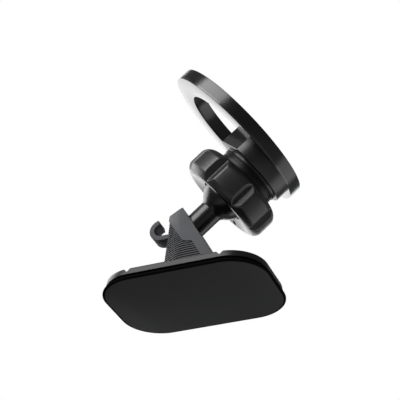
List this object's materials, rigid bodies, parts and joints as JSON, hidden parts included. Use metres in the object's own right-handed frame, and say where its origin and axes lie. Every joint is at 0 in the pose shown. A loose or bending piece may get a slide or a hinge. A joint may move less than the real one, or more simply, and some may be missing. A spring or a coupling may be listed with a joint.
{
  "type": "magnetic phone mount",
  "caption": "Dashboard phone mount: rounded adhesive base with flex grooves, ribbed wedge bracket with cable hook, ball joint with lobed locking knob, and a thin magnetic ring on an offset hub.",
  "frame": {"origin": "centre of the adhesive face", "axes": "+Z away from the surface it sticks to; X along the base's length, the stem and ring lean toward +X; the object mirrors across the X-Z plane"},
  "size_m": [0.0676, 0.0604, 0.0912],
  "materials": {
    "face_sheet": "soft dark adhesive sheet",
    "foam": "black foam",
    "plate": "satin dark grey",
    "ribbed_body": "dark grey, finely ribbed",
    "cover": "satin blue grey",
    "stem": "black, semi gloss",
    "liner": "natural nylon",
    "socket": "black",
    "knob": "black, semi gloss",
    "hub": "black, semi gloss",
    "ring_back": "black, glossy",
    "ring": "black, semi gloss",
    "soft_face": "black silicone",
    "steel": "zinc plated",
    "magnet": "nickel plated"
  },
  "bodies": {
    "base": {"sheet_centre": "face_sheet", "foam_centre": "foam", "plate_centre": "plate", "wedge_body": "ribbed_body", "wedge_cover": "cover", "cable_clip": "cover", "bracket_screws": "steel", "ball_stem": "stem", "stem_pin": "steel"},
    "left_flap": {"sheet_left": "face_sheet", "foam_left": "foam", "plate_left": "plate"},
    "right_flap": {"sheet_right": "face_sheet", "foam_right": "foam", "plate_right": "plate"},
    "liner": {"ball_liner": "liner"},
    "cup": {"pressure_cup": "liner"},
    "head": {"socket_collet": "socket", "thread_collar": "socket", "stop_washer": "socket", "hub": "hub", "socket_screw": "steel", "hub_cap": "hub", "ring_back": "ring_back", "ring_housing": "ring", "magnet_yoke": "steel", "magnet_array": "magnet", "ring_face": "soft_face"},
    "clamp": {"clamp_ring": "socket"},
    "knob": {"lock_knob": "knob"}
  },
  "joints": [
    {"name": "left_flap_flex", "type": "hinge", "parent": "base", "child": "left_flap", "pos_m": [-0.01675, 0, 0.0016], "axis": [0, 1, 0], "range_deg": [-7, 7], "stiffness_Nm_per_rad": 0.03},
    {"name": "right_flap_flex", "type": "hinge", "parent": "base", "child": "right_flap", "pos_m": [0.01675, 0, 0.0016], "axis": [0, -1, 0], "range_deg": [-7, 7], "stiffness_Nm_per_rad": 0.03},
    {"name": "ball_tilt", "type": "hinge", "parent": "base", "child": "liner", "pos_m": [0.01174, 0, 0.03982], "axis": [0, 1, 0], "range_deg": [-25, 25]},
    {"name": "ball_swing", "type": "hinge", "parent": "liner", "child": "cup", "pos_m": [0.01174, 0, 0.03982], "axis": [-0.6428, 0, 0.766], "range_deg": [-25, 25]},
    {"name": "head_spin", "type": "hinge", "parent": "cup", "child": "head", "pos_m": [0.01174, 0, 0.03982], "axis": [0.766, 0, 0.6428], "continuous": true},
    {"name": "clamp_slide", "type": "slide", "parent": "head", "child": "clamp", "axis": [-0.766, 0, -0.6428], "range_m": [0, 0.0015]},
    {"name": "knob_turn", "type": "hinge", "parent": "clamp", "child": "knob", "pos_m": [0.01174, 0, 0.03982], "axis": [-0.766, 0, -0.6428], "range_deg": [0, 360]}
  ],
  "couplings": [
    {"joint": "clamp_slide", "follows": "knob_turn", "m_per_rad": 0.00023873}
  ]
}
